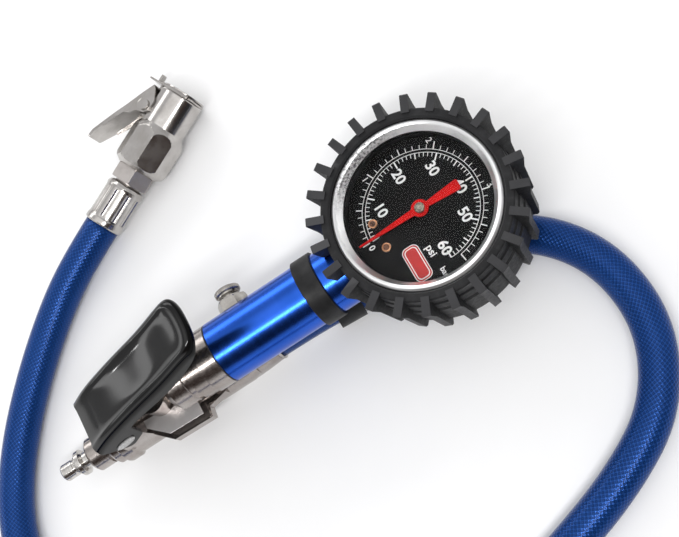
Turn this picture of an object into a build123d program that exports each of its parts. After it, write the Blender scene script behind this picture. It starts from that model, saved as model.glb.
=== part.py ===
"""Hand tyre inflator with a dial gauge, a hose and a clip-on chuck.

Frame, in millimetres: the origin is the middle of the inlet plug's nose, +X runs
along the tool towards the gauge, +Z is the way the dial faces, +Y is the side
of the bleed button. The tool lies on a table with its hose.
"""
import math
import os

from build123d import *

# --- driving dimensions -------------------------------------------------------
GAUGE_X = 192.0          # dial axis, from the middle of the plug's nose
BEZEL_Z = 41.5           # front of the bezel above the air inlet axis
BARREL_Z = 20.7          # barrel axis above the air inlet axis
TABLE_Z = -17.5          # surface that the tool lies on
HOSE_R = 8.0             # 16 mm hose
LAID_Z = TABLE_Z + HOSE_R
OUTLET_Z = -2.5          # hose outlet, a little below the inlet axis

NOSE_R = 3.9             # inlet plug
NOSE_HALF = 2.6
PLUG_FLANGE_R = 5.85

TUBE_R = 10.4            # valve tube of the casting
PASSAGE_R = 3.0
VALVE_X = 55.0           # valve and plunger axis
PLUNGER_R = 2.4
PLUNGER_TOP = 41.0
SEAT_Z = 2.8

SLEEVE_R = 13.4          # barrel sleeve
SLEEVE_IN_R = 11.5
SLEEVE_X = (91.0, 155.6)

PIVOT_X = 38.0           # trigger lever pivot
PIVOT_Z = 27.0
PIVOT_R = 2.0
LEVER_HALF = 12.5        # half the lever's width
LEVER_WALL = 2.2

BLEED_X = 105.0          # bleed button
CLIP_X = (135.0, 143.7)  # clip ring on the barrel
CLIP_HOSE_X = 141.0      # middle of the ring that holds the hose
CLIP_HOSE_Z = -5.5
CLIP_HOSE_TILT = 9.7     # the hose slopes down here

BEZEL_R = 34.25          # 68.5 mm over the bezel, a 63 mm class gauge
BEZEL_OPEN_R = 29.9
CASE_R = 31.0
CASE_BACK_Z = 5.0
DIAL_Z = 33.0
BOOT_COLLAR_R = 38.3
BOOT_REAR_Z = 3.5
LUG_COUNT = 24
LUG_TIP_R = 44.3
LUG_FRONT_Z = 42.6       # the lugs stand a little ahead of the bezel
LUG_WIDTH = 3.3
LUG_PHASE = 6.0          # degrees from +X to the first lug

CHUCK_AT = (60.2, 93.2, -5.6)   # where the hose enters the chuck ferrule
CHUCK_TURN = 26.7               # chuck axis, degrees from +X
CHUCK_FLAT = 11.8               # half the octagon's width across flats
HEAD_R = 10.3
VALVE_BORE_R = 4.1              # takes an 8 mm tyre valve
SEAL_R = 4.6             # face seal, in an undercut below the bore
SEAL_SEAT = (57.5, 60.2)
CHUCK_PIN = (57.0, 10.5)

RUNNING = 0.06           # radial clearance of a moving fit

# Corner points of the hose's centre line, from the outlet ferrule to the chuck.
HOSE_POINTS = [
    (108.0, 0.0, -2.5),
    (122.0, 0.0, -2.5),
    (140.0, 0.0, -5.3),
    (158.0, -0.5, -8.7),
    (181.0, -2.0, LAID_Z),
    (206.0, -8.0, LAID_Z),
    (229.0, -24.5, LAID_Z),
    (242.0, -48.5, LAID_Z),
    (242.5, -79.0, LAID_Z),
    (227.0, -106.0, LAID_Z),
    (200.0, -122.0, LAID_Z),
    (166.0, -134.0, LAID_Z),
    (126.0, -146.0, LAID_Z),
    (80.0, -148.0, LAID_Z),
    (38.0, -137.0, LAID_Z),
    (2.0, -114.0, LAID_Z),
    (-25.0, -84.0, LAID_Z),
    (-39.0, -52.0, LAID_Z),
    (-42.0, -20.0, LAID_Z),
    (-36.0, 3.5, LAID_Z),
    (-22.0, 27.5, LAID_Z),
    (-2.0, 51.0, LAID_Z),
    (21.0, 72.5, LAID_Z),
    (42.0, 84.046, -5.6),
    (60.2, 93.2, -5.6),
]


# --- helpers --------------------------------------------------------------------
def rod_x(radius, start, end, y=0.0, z=0.0):
    """Round bar along X from start to end."""
    return Pos((start + end) / 2, y, z) * Rot(0, 90, 0) * Cylinder(radius, end - start)


def rod_y(radius, start, end, x=0.0, z=0.0):
    """Round bar along Y from start to end."""
    return Pos(x, (start + end) / 2, z) * Rot(90, 0, 0) * Cylinder(radius, end - start)


def rod_z(radius, start, end, x=0.0, y=0.0):
    """Round bar along Z from start to end."""
    return Pos(x, y, (start + end) / 2) * Cylinder(radius, end - start)


def block(low, high):
    """Box between two corners."""
    size = [b - a for a, b in zip(low, high)]
    middle = [(a + b) / 2 for a, b in zip(low, high)]
    return Pos(*middle) * Box(*size)


def side_plate(points, half):
    """Plate with an outline of (x, z) points, centred on y = 0."""
    return extrude(Plane.XZ * Polygon(*points, align=None), amount=half, both=True)


def flat_plate(points, bottom, top):
    """Plate with an outline of (x, y) points between two heights."""
    return Pos(0, 0, bottom) * extrude(Polygon(*points, align=None), amount=top - bottom)


def turned_x(points, z=0.0):
    """Turned part about the X direction, from (x, radius) points."""
    return Pos(0, 0, z) * revolve(Polygon(*points, align=None), Axis.X)


def turned_gauge(points):
    """Turned part about the dial axis, from (radius, z) points."""
    return Pos(GAUGE_X, 0, 0) * revolve(Plane.XZ * Polygon(*points, align=None), Axis.Z)


def coil(radius, wire, height, turns):
    """Compression spring standing on z = 0."""
    path = Helix(pitch=(height - 2 * wire) / turns, height=height - 2 * wire, radius=radius)
    section = Plane(origin=path @ 0, z_dir=path % 0) * Circle(wire)
    return Pos(0, 0, wire) * sweep(section, path=path, is_frenet=True)


def hexagon(across, bottom, top):
    """Hexagonal bar standing on z = bottom."""
    face = RegularPolygon(across / 2, 6, major_radius=False)
    return Pos(0, 0, bottom) * extrude(face, amount=top - bottom)


# --- casting and its plumbing ------------------------------------------------------
def body_casting():
    """Die casting: valve tube, barrel collar, pivot web, plunger boss and wings."""
    tube = turned_x([
        (12, 0), (12, 6.6), (13.2, 7.8), (20.4, 7.8), (20.4, 6.8), (22.3, 6.8),
        (22.3, 9.0), (23, 9.6), (26, 9.6), (26.6, 11.0), (27.4, 11.4), (32, 11.4),
        (33, TUBE_R), (92, TUBE_R), (96, 9.4), (98, 0),
    ])
    outlet = turned_x([(86, 0), (86, 7.5), (93, 9.4), (99, 9.2), (106.5, 8.6), (106.5, 0)], OUTLET_Z)
    barrel = turned_x([
        (64, 0), (64, 9.5), (66.5, 12.0), (73.5, 12.0), (74, 11.4), (76, 11.4),
        (76.5, 12.4), (82.5, 12.4), (83, 13.3), (90.6, 13.3), (90.6, SLEEVE_IN_R),
        (112, SLEEVE_IN_R), (112, 0),
    ], BARREL_Z)
    neck = side_plate([(64, 0), (91, 0), (91, 18), (66, 18), (58, 14)], 6.5)
    pivot = side_plate([(30.5, 0), (45.5, 0), (43.5, PIVOT_Z), (32.5, PIVOT_Z)], 9.4)
    pivot += rod_y(5.8, -9.4, 9.4, PIVOT_X, PIVOT_Z)
    boss = rod_z(6.5, 6, 22, VALVE_X)
    spine = side_plate([(42, 6), (68, 6), (68, 16), (42, 16)], 3.0)
    solid = tube + outlet + barrel + neck + pivot + boss + spine + wings()
    for bore in passages():
        solid -= bore
    return solid - sleeve_room()


def wings():
    """Finger rests each side of the valve tube, with a panel sunk in their tops."""
    edge = [(37, 2.4), (52.2, 16.6), (71.5, 17), (72.1, 12.6), (81, 10.6)]
    outline = edge + [(x, -y) for x, y in reversed(edge)]
    plate = flat_plate(outline, 8.0, 13.0)
    panel = [(40.2, 3.4), (52.9, 14.8), (69.8, 15.2), (69.8, 5.0), (43.2, 3.4)]
    for side in (1, -1):
        plate -= flat_plate([(x, side * y) for x, y in panel], 11.8, 14)
    gusset = side_plate([(70, 12), (84, 12), (84, 17.5)], 10.4)
    return plate + gusset


def passages():
    """Air ways, valve chamber, plunger bore, seal groove and screw holes."""
    return [
        rod_x(PASSAGE_R, 2, VALVE_X, z=-3.5),
        rod_x(5.0, 11, 22),
        rod_z(6.0, -12, SEAT_Z + 2.0, VALVE_X),
        rod_z(4.4, SEAT_Z, 9.0, VALVE_X),
        rod_z(PLUNGER_R + RUNNING, 8, 23, VALVE_X),
        rod_z(4.3, 15.0, 16.6, VALVE_X),
        rod_x(2.0, VALVE_X, 91, z=7.2),
        rod_z(2.2, OUTLET_Z, BARREL_Z, 88.8),
        rod_x(PASSAGE_R, 85.4, 107, z=OUTLET_Z),
        rod_x(PASSAGE_R, 85.4, 113, z=BARREL_Z),
        rod_y(4.0, 0, 12, BLEED_X, BARREL_Z),
        rod_y(PIVOT_R, -10, 10, PIVOT_X, PIVOT_Z),
    ]


def sleeve_room():
    """Space that the sleeve takes over the outlet end of the valve tube."""
    room = rod_x(SLEEVE_R + 0.1, 90.6, 130, z=BARREL_Z)
    return room - rod_x(SLEEVE_IN_R, 90, 131, z=BARREL_Z)


def body_sleeve():
    """Anodised barrel tube with a hole for the bleed housing."""
    start, end = SLEEVE_X
    tube = rod_x(SLEEVE_R, start, end, z=BARREL_Z) - rod_x(SLEEVE_IN_R, start - 1, end + 1, z=BARREL_Z)
    tube = chamfer(tube.edges().filter_by(GeomType.CIRCLE).group_by(SortBy.RADIUS)[-1], 0.4)
    return tube - rod_y(4.0, 8, 15, BLEED_X, BARREL_Z)


def sleeve_seal():
    """Thin black ring between the casting's collar and the sleeve."""
    ring = rod_x(SLEEVE_R - 0.35, 90.6, 91.0, z=BARREL_Z)
    return ring - rod_x(SLEEVE_IN_R, 90, 92, z=BARREL_Z)


def inlet_plug():
    """Male quick coupling plug: nose, groove, flange and neck, screwed into the casting."""
    plug = turned_x([
        (-NOSE_HALF - 0.7, 0), (-NOSE_HALF - 0.7, NOSE_R - 0.6), (-NOSE_HALF, NOSE_R),
        (NOSE_HALF, NOSE_R), (NOSE_HALF + 0.5, NOSE_R - 0.5), (3.6, 3.4), (4.1, 4.3), (5.0, 4.3),
        (5.6, PLUG_FLANGE_R), (7.6, PLUG_FLANGE_R), (8.2, 4.6), (8.6, 3.75), (11.2, 3.75),
        (12.0, 5.0), (21, 5.0), (21, 0),
    ])
    return plug - rod_x(2.2, -4, 22)


def inlet_filter():
    """Sintered disc behind the plug."""
    return rod_x(4.9, 21.05, 21.95) - rod_x(1.0, 21, 22)


def outlet_ferrule():
    """Crimped ferrule that holds the hose to the casting's outlet."""
    return turned_x([(106.5, 3.0), (106.5, 8.5), (107.2, 8.9), (108.0, 8.9), (108.0, 3.0)], OUTLET_Z)


# --- trigger valve -------------------------------------------------------------------
def lever_pin():
    """Pivot pin of the trigger lever, pressed into the casting's web."""
    return rod_y(PIVOT_R, -LEVER_HALF + 0.4, LEVER_HALF - 0.4, PIVOT_X, PIVOT_Z)


LEVER_TOP = [
    (28.0, 33.2), (31.2, 37.2), (39, 43.1), (49.7, 49.2), (63.9, 56.1), (77.7, 62.5), (85.7, 67.4), (95, 73.0),
    (98.5, 74.2), (100, 73.4),
]
LEVER_EDGE = [
    (100, 70.0), (94.2, 65.0), (86.5, 57.7), (76.4, 50.8), (65.4, 45.8), (53.0, 41.0), (48.3, 38.0),
    (48.3, 26.6), (38.4, 19.4), (28.0, 30.2),
]


def lowered(points, drop, inset=0.0):
    """The lever's top line, moved down and pulled in at both ends."""
    start = points[0][0] + inset
    end = points[-1][0] - inset
    return [(x, z - drop) for x, z in points if start < x < end]


def rounded_plan(inset):
    """Tall block with the lever's outline from above, its free end rounded."""
    middle, length, end_round = 64.0, 72.0, 8.0
    slab = block(
        (middle - length / 2 + inset, inset - LEVER_HALF, 4),
        (middle + length / 2 - inset, LEVER_HALF - inset, 84),
    )
    free_end = slab.edges().filter_by(Axis.Z).group_by(Axis.X)[-1]
    return fillet(free_end, end_round - inset)


def trigger_lever():
    """Spoon-shaped trigger: a dished top with side walls and pivot ears."""
    side = side_plate(LEVER_TOP + LEVER_EDGE, LEVER_HALF)
    plan = rounded_plan(0)
    inside_plan = rounded_plan(LEVER_WALL)
    under = [(29.4, 29.0)] + lowered(LEVER_TOP, 5.6, 3.0) + [(102, 69), (102, 10), (29.4, 10)]
    hollow = side_plate(under, LEVER_HALF) & inside_plan
    dish_line = lowered(LEVER_TOP, 2.8, 4.5)
    dish = side_plate(dish_line + [(95, 90), (34, 90)], LEVER_HALF - 3.4)
    body = (side & plan) - hollow - dish
    pad = rod_y(2.0, -4, 4, VALVE_X, PLUNGER_TOP + 2.3)
    pad += block((VALVE_X - 2, -4, PLUNGER_TOP + 2.3), (VALVE_X + 2, 4, 48.0))
    return body + pad - rod_y(PIVOT_R + RUNNING, -20, 20, PIVOT_X, PIVOT_Z)


def lever_badges():
    """Plain oval plates on the outside of the lever's ears."""
    face = Plane.XZ * Pos(39.5, 26.6) * Rot(0, 0, 24) * Ellipse(5.4, 2.6)
    plate = extrude(face, amount=LEVER_HALF + 0.5, both=True)
    return plate - block((20, -LEVER_HALF, 10), (60, LEVER_HALF, 50))


def valve_plunger():
    """Plunger under the lever: head, stem and poppet."""
    head = rod_z(4.0, PLUNGER_TOP - 2.0, PLUNGER_TOP, VALVE_X)
    head = fillet(head.edges().group_by(Axis.Z)[-1], 0.8)
    stem = rod_z(PLUNGER_R, 0, PLUNGER_TOP - 1.9, VALVE_X)
    poppet = rod_z(3.9, 0.6, 1.8, VALVE_X)
    return head + stem + poppet


def poppet_washer():
    """Rubber washer on the poppet's upper face."""
    return rod_z(3.8, 1.8, SEAT_Z - 0.05, VALVE_X) - rod_z(PLUNGER_R, 0, 4, VALVE_X)


def valve_seat():
    """Brass seat ring pressed into the chamber's roof."""
    return rod_z(6.0, SEAT_Z, SEAT_Z + 2.0, VALVE_X) - rod_z(3.0, 0, 8, VALVE_X)


def plunger_seal():
    """O-ring round the plunger."""
    ring = Torus(3.42, 0.78)
    ring -= rod_z(PLUNGER_R + RUNNING, -2, 2)
    return Pos(VALVE_X, 0, 15.8) * ring


def valve_spring():
    """Spring that closes the valve."""
    return Pos(VALVE_X, 0, -8.3) * coil(3.0, 0.4, 8.8, 3.5)


def valve_cap():
    """Screw cap below the valve, with a driver slot."""
    cap = rod_z(6.0, -11.0, -8.4, VALVE_X) + rod_z(7.2, -12.6, -10.9, VALVE_X)
    cap -= block((VALVE_X - 8, -0.6, -13), (VALVE_X + 8, 0.6, -11.9))
    return cap


# --- bleed button --------------------------------------------------------------------
def bleed_housing():
    """Hexagonal housing screwed into the barrel's side."""
    hexed = hexagon(12.0, 11.6, 16.8) & Pos(0, 0, 13) * Cone(9.4, 6.2, 9.0)
    hexed -= rod_x(SLEEVE_R + 0.02, -20, 20)
    shank = rod_z(4.0, 8.8, 14.0)
    body = hexed + shank - rod_z(3.35, 10.6, 20) - rod_z(1.6 + RUNNING, 5, 12)
    return Pos(BLEED_X, 0, BARREL_Z) * Rot(-90, 0, 0) * body


def bleed_button():
    """Button: knurled disc, stem and inner poppet."""
    disc = rod_z(5.6, 19.6, 21.8)
    disc = chamfer(disc.edges(), 0.35)
    notch_count = 36
    for step in range(notch_count):
        disc -= Rot(0, 0, step * 360 / notch_count) * Pos(5.75, 0, 20.7) * Cylinder(0.25, 4)
    lip = rod_z(4.6, 18.9, 19.6)
    neck = rod_z(3.2, 16.4, 19.0)
    stem = rod_z(1.6, 6.2, 16.5)
    return Pos(BLEED_X, 0, BARREL_Z) * Rot(-90, 0, 0) * (disc + lip + neck + stem)


def bleed_seal():
    """Rubber seal on the inner end of the bleed stem."""
    ring = rod_z(2.9, 7.2, 8.7) - rod_z(1.6, 5, 10)
    return Pos(BLEED_X, 0, BARREL_Z) * Rot(-90, 0, 0) * ring


def bleed_spring():
    """Spring under the bleed button."""
    return Pos(BLEED_X, 10.65, BARREL_Z) * Rot(-90, 0, 0) * coil(2.5, 0.3, 5.7, 4)


# --- clip ------------------------------------------------------------------------------
def hose_clip():
    """Black clip: a band round the sleeve and a lower ring round the hose."""
    band = rod_x(SLEEVE_R + 1.3, *CLIP_X, z=BARREL_Z)
    band = chamfer(band.edges().filter_by(GeomType.CIRCLE), 0.3)
    hose_line = Pos(CLIP_HOSE_X, 0, CLIP_HOSE_Z) * Rot(0, 90 + CLIP_HOSE_TILT, 0)
    lower = hose_line * Cylinder(10.6, 12)
    web = block((CLIP_X[0], -5, CLIP_HOSE_Z + 8), (CLIP_X[1], 5, BARREL_Z - 12))
    holes = rod_x(SLEEVE_R, 130, 150, z=BARREL_Z) + hose_line * Cylinder(HOSE_R + 0.3, 40)
    return band + lower + web - holes


# --- gauge -----------------------------------------------------------------------------
def gauge_stem():
    """Threaded stem of the gauge, from the sleeve's end into the case."""
    base_x = GAUGE_X - CASE_R
    stem = rod_x(SLEEVE_IN_R, 144, 157, z=BARREL_Z) + rod_x(6.5, 156, base_x + 7.5, z=BARREL_Z)
    stem += block((base_x + 5, -6, 9), (base_x + 14, 6, 22.0))
    return stem - rod_x(2.5, 143, base_x + 8, z=BARREL_Z)


def gauge_case():
    """Deep drawn case with a hole for the stem."""
    cup = turned_gauge([
        (0, CASE_BACK_Z), (CASE_R - 2, CASE_BACK_Z), (CASE_R, CASE_BACK_Z + 2), (CASE_R, 31.5),
        (32.8, 31.5), (32.8, 35.6), (CASE_R - 1.2, 35.6), (CASE_R - 1.2, CASE_BACK_Z + 2.2),
        (CASE_R - 2.2, CASE_BACK_Z + 1.2), (0, CASE_BACK_Z + 1.2),
    ])
    return cup - rod_x(6.5, 150, 175, z=BARREL_Z)


def gauge_bezel():
    """Chrome bezel with a rolled front and a sloping inner face."""
    return turned_gauge([
        (32.85, 31.6), (BEZEL_R - 0.3, 31.6), (BEZEL_R, 31.9), (BEZEL_R, 39.6), (33.9, 40.8),
        (33.1, 41.4), (32.4, BEZEL_Z), (31.8, 41.2), (BEZEL_OPEN_R + 0.2, 38.7),
        (BEZEL_OPEN_R, 38.4), (32.0, 38.4), (32.85, 37.6),
    ])


def gauge_lens():
    """Flat clear lens."""
    return turned_gauge([(0, 36.4), (31.9, 36.4), (31.9, 38.35), (0, 38.35)])


def lens_gasket():
    """Rubber ring under the lens."""
    return turned_gauge([(30.4, 35.6), (31.9, 35.6), (31.9, 36.4), (30.4, 36.4)])


def gauge_dial():
    """Dial plate with a centre hole and two screw holes."""
    dial = turned_gauge([(1.4, DIAL_Z - 0.6), (29.7, DIAL_Z - 0.6), (29.7, DIAL_Z), (1.4, DIAL_Z)])
    for x, y in dial_screw_places():
        dial -= rod_z(1.2, DIAL_Z - 1, DIAL_Z + 1, x, y)
    return dial


def dial_screw_places():
    """Centres of the dial's two screws."""
    radius = 19.8
    spread = 16.5
    return [
        (GAUGE_X - radius * math.cos(math.radians(a)), radius * math.sin(math.radians(a)))
        for a in (spread, -spread)
    ]


def dial_screws():
    """Two pan head screws that hold the dial to the stem block."""
    group = []
    for x, y in dial_screw_places():
        head = fillet(rod_z(1.9, DIAL_Z, DIAL_Z + 0.6, x, y).edges().group_by(Axis.Z)[-1], 0.25)
        slot = block((x - 3, y - 0.25, DIAL_Z + 0.35), (x + 3, y + 0.25, DIAL_Z + 2))
        group.append(head + rod_z(1.2, DIAL_Z - 3.5, DIAL_Z + 0.5, x, y) - slot)
    return Compound(children=[solid for part in group for solid in part.solids()])


def movement_frame():
    """Two brass plates on pillars that carry the gear train."""
    corners = [(-20.5, -8), (6, -8), (6, 21), (-10, 21), (-20.5, 10)]
    outline = [(GAUGE_X + x, y) for x, y in corners]
    plates = flat_plate(outline, 22.0, 23.2) + flat_plate(outline, 28.2, 29.4)
    for x, y in ((-18, -5.5), (-11, 18.5), (4, -5.5)):
        plates += rod_z(1.3, 22.5, 29.0, GAUGE_X + x, y)
    for x, y in dial_screw_places():
        plates += rod_z(2.2, 29.0, DIAL_Z - 0.6, x, y)
        plates -= rod_z(1.2, 28.0, DIAL_Z, x, y)
    plates -= rod_z(0.8 + RUNNING, 20, 32, GAUGE_X)
    return plates - rod_z(1.0 + RUNNING, 20, 32, GAUGE_X, SECTOR_Y)


PINION_R = 1.6
SECTOR_R = 16.0
SECTOR_Y = PINION_R + SECTOR_R + 0.08


def sector_gear():
    """Toothed sector on its arbor; it turns the pinion ten times as far."""
    low, high = 24.6, 26.0
    reach = [(0, 0)] + [
        (SECTOR_R * math.sin(math.radians(a)), -SECTOR_R * math.cos(math.radians(a)))
        for a in range(-31, 6, 4)
    ]
    arm = flat_plate([(GAUGE_X + x, SECTOR_Y + y) for x, y in reach], low, high)
    arbor = rod_z(1.0, 22.1, 29.3, GAUGE_X, SECTOR_Y) + rod_z(2.4, 24.0, 26.6, GAUGE_X, SECTOR_Y)
    tail = block((GAUGE_X - 1.2, SECTOR_Y, low), (GAUGE_X + 1.2, SECTOR_Y + 6, high))
    return arm + arbor + tail


def pinion():
    """Pinion on the needle's shaft."""
    shaft = rod_z(0.8, 21.9, 34.0, GAUGE_X)
    return shaft + rod_z(PINION_R, 24.0, 26.6, GAUGE_X)


def bourdon_tube():
    """C-shaped spring tube, from the stem block round to its free end."""
    outer = revolve(Plane.XZ * Pos(24.5, 16.5) * Ellipse(1.3, 4.0), Axis.Z, revolution_arc=250)
    inner = revolve(Plane.XZ * Pos(24.5, 16.5) * Ellipse(0.9, 3.6), Axis.Z, revolution_arc=246)
    return Pos(GAUGE_X, 0, 0) * Rot(0, 0, 197.5) * (outer - Rot(0, 0, 2) * inner)


def needle():
    """Pointer with a fine tip and a wide tail."""
    low, high = 34.0, 34.6
    tip = [(-28, 0.3), (-28, -0.3), (-3, -1.4), (-3, 1.4)]
    tail = [(2.5, -1.1), (2.5, 1.1), (17, 2.3), (17.6, 1.9), (17.6, -1.9), (17, -2.3)]
    shape = flat_plate([(GAUGE_X + x, y) for x, y in tip], low, high)
    shape += flat_plate([(GAUGE_X + x, y) for x, y in tail], low, high)
    return shape + rod_z(3.5, low, high, GAUGE_X)


def needle_hub():
    """Turned hub that holds the needle on its shaft."""
    hub = rod_z(2.1, 34.6, 35.8, GAUGE_X)
    hub = fillet(hub.edges().group_by(Axis.Z)[-1], 0.5)
    return hub - rod_z(0.8, 35.3, 36, GAUGE_X)


def rubber_boot():
    """Rubber boot with a wide collar, a grooved wall and tyre-tread lugs."""
    seat_r = BEZEL_R + 0.05
    back_r = CASE_R + 0.05
    wall = turned_gauge([
        (24, BOOT_REAR_Z), (31, BOOT_REAR_Z), (36.5, 5.5), (39.0, 8.5), (39.6, 27.6), (38.4, 28.0),
        (38.4, 28.9), (39.1, 29.3), (38.9, 35.0), (BOOT_COLLAR_R, 35.6), (BOOT_COLLAR_R, 41.2),
        (37.7, 41.8), (35.1, 41.8), (seat_r, 40.9), (seat_r, 31.4), (back_r, 31.4),
        (back_r, CASE_BACK_Z - 0.05), (24, CASE_BACK_Z - 0.05),
    ])
    profile = [
        (36.6, LUG_FRONT_Z), (LUG_TIP_R - 0.6, LUG_FRONT_Z), (LUG_TIP_R, LUG_FRONT_Z - 0.6),
        (42.7, 33.0), (41.4, 6.5), (40.4, 4.4), (35.5, 4.4),
    ]
    lug = extrude(Plane.XZ * Polygon(*profile, align=None), amount=LUG_WIDTH / 2, both=True)
    for step in range(LUG_COUNT):
        turn = LUG_PHASE + step * 360 / LUG_COUNT
        wall += Pos(GAUGE_X, 0, 0) * Rot(0, 0, turn) * lug
    inside = turned_gauge([
        (0, CASE_BACK_Z - 0.05), (back_r, CASE_BACK_Z - 0.05), (back_r, 31.4),
        (seat_r, 31.4), (seat_r, 45), (0, 45),
    ])
    return wall - inside - rod_x(SLEEVE_R + 0.4, 130, 164, z=BARREL_Z)


# --- hose ------------------------------------------------------------------------------
def hose():
    """Air hose from the outlet ferrule round to the chuck."""
    points = [Vector(*p) for p in HOSE_POINTS]
    radii = []
    for before, here, after in zip(points, points[1:], points[2:]):
        turn = (here - before).get_angle(after - here)
        shorter = min((here - before).length, (after - here).length)
        radii.append(0.45 * shorter / math.tan(math.radians(turn) / 2))
    print("hose arc radii", [round(r) for r in radii])
    line = FilletPolyline(*points, radius=radii)
    section = Plane(origin=line @ 0, z_dir=line % 0) * Circle(HOSE_R)
    tube = sweep(section, path=line)
    exact = math.pi * HOSE_R**2 * line.length
    print("hose length", round(line.length, 1), "volume ratio", round(tube.volume / exact, 4))
    return tube


# --- chuck, built along +X and then turned into place --------------------------------------
def placed(shape):
    """Move a chuck piece from its own axes to the end of the hose."""
    return Pos(*CHUCK_AT) * Rot(0, 0, CHUCK_TURN) * shape


def chuck_ferrule():
    """Crimped, fluted ferrule over the hose's end."""
    shell = turned_x([
        (0, 2.2), (0, 8.4), (0.8, 9.1), (2.6, 9.1), (3.6, 8.7), (18.4, 8.7), (19.4, 9.1),
        (21.0, 8.2), (21.8, 6.0), (21.8, 2.2),
    ])
    flute_count = 10
    for step in range(flute_count):
        angle = math.radians(step * 360 / flute_count)
        away = 9.9
        shell -= rod_x(1.9, 4.2, 17.8, away * math.cos(angle), away * math.sin(angle))
    return shell


def chuck_nut():
    """Hexagonal nut between the ferrule and the chuck."""
    blank = Rot(30, 0, 0) * Rot(0, 90, 0) * hexagon(17.0, 22.4, 29.5)
    dome = turned_x([(21.8, 0), (21.8, 8.7), (23.2, 9.9), (28.6, 9.9), (29.5, 9.2), (29.5, 0)])
    return (blank & dome) + rod_x(6.0, 21.8, 22.6) - rod_x(2.2, 20, 30)


def chuck_body():
    """Octagonal chuck body with a round head bored for the tyre valve."""
    blank = extrude(RegularPolygon(CHUCK_FLAT, 8, major_radius=False, rotation=22.5), amount=22.5)
    octagon = Pos(29.5, 0, 0) * Rot(0, 90, 0) * blank
    dome = turned_x([
        (29.5, 0), (29.5, 9.4), (31.5, 11.9), (33.5, 12.9), (46.5, 12.9), (49.5, 11.9), (52, 10.4), (52, 0),
    ])
    head = turned_x([(50, 0), (50, HEAD_R), (68.0, HEAD_R), (68.8, 9.6), (68.8, 0)])
    lug = block((52.5, 6, -5.4), (61.5, 13.0, 5.4))
    lug = fillet(lug.edges().filter_by(Axis.Z).group_by(Axis.Y)[-1], 3.0)
    solid = (octagon & dome) + head + lug
    for side in (1, -1):
        solid -= block((51.2, 4.6, 6.9 if side > 0 else -14), (70, 14, 14 if side > 0 else -6.9))
    solid -= block((61.6, 8.4, -14), (70, 14, 14))
    solid -= rod_z(3.1, 5.4, 8.0, *CHUCK_PIN)
    solid -= rod_x(VALVE_BORE_R, 57.5, 70)
    solid -= rod_x(SEAL_R, *SEAL_SEAT)
    solid -= rod_x(2.6, 48, 58)
    solid -= rod_x(2.2, 29, 50)
    return solid - rod_z(1.6, -15, 15, *CHUCK_PIN)


def chuck_seal():
    """Rubber face seal at the bottom of the valve bore."""
    return rod_x(SEAL_R, *SEAL_SEAT) - rod_x(1.9, 57, 61)


def valve_depressor():
    """Pin that opens the tyre valve's core, on a spider."""
    spider = rod_x(2.6, 50.2, 51.4)
    for side in (1, -1):
        spider -= rod_x(0.7, 50, 52, side * 1.55, 0)
    return spider + rod_x(0.9, 50.2, 59.9)


def chuck_pin():
    """Riveted pivot pin of the chuck lever."""
    pin = rod_z(1.6, -9.2, 9.2, *CHUCK_PIN)
    for low, high in ((8.5, 9.6), (-9.6, -8.5)):
        pin += rod_z(2.6, low, high, *CHUCK_PIN)
    return pin


SPINE = [(67.2, 11.4), (61.5, 14.4), (53.3, 18.2), (46.0, 22.0), (39.5, 25.7), (35.0, 28.2), (31.4, 29.6)]
EAR = [
    (31.2, 28.2), (35.0, 26.2), (39.5, 23.5), (45.5, 20.0), (49.4, 17.6), (50.7, 15.0), (53.0, 12.6),
    (53.8, 8.6), (55.6, 6.9), (60.5, 6.9), (65.8, 9.6),
]
LEVER_TAPER = [(30, 3.6), (32, 5.4), (35, 6.6), (47, 8.4), (75, 8.4)]


def chuck_lever():
    """Pressed U-section lever: two ears joined by a spine that runs out to the tip."""
    outline = Polygon(*(SPINE + EAR), align=None)
    lever = extrude(outline, amount=8.3, both=True)
    core = [(x - 0.45, z - 1.0) for x, z in SPINE] + [(20, 24), (20, 0), (75, 0), (75, 12.0)]
    lever -= extrude(Polygon(*core, align=None), amount=7.2, both=True)
    lever &= side_plate(LEVER_TAPER + [(x, -z) for x, z in reversed(LEVER_TAPER)], 35)
    lever += block((66.0, 11.2, -2.0), (70.9, 12.2, 2.0))
    return lever - rod_z(1.6 + RUNNING, -15, 15, *CHUCK_PIN)


def grip_plate():
    """Sliding plate that catches the valve's thread, with a bent tab."""
    plate = block((69.0, -8.3, -6.0), (69.9, 17.0, 6.0))
    slot = block((68, -2.0, -4.5), (71, 1.0, 4.5))
    slot += rod_x(4.5, 68, 71, 1.0, 0) + rod_x(4.5, 68, 71, -2.0, 0)
    tab = block((69.0, 14.2, -1.6), (73.6, 15.2, 1.6))
    window = block((68, 10.9, -2.4), (71, 12.6, 2.4))
    return plate + tab - slot - window


def chuck_cap():
    """Thin retaining disc over the grip plate, held by two lugs."""
    disc = rod_x(HEAD_R - 0.2, 70.2, 70.9) - rod_x(4.5, 70, 72)
    disc -= block((69, 8.0, -12), (72, 14, 12))
    for side in (1, -1):
        low = 6.4 if side > 0 else -7.6
        disc += block((68.8, -6.0, low), (70.4, 6.0, low + 1.2))
    return disc


def chuck_spring():
    """Torsion spring round the lever's pin."""
    return Pos(CHUCK_PIN[0], CHUCK_PIN[1], 5.5) * coil(2.2, 0.28, 1.6, 1.6)


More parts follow.
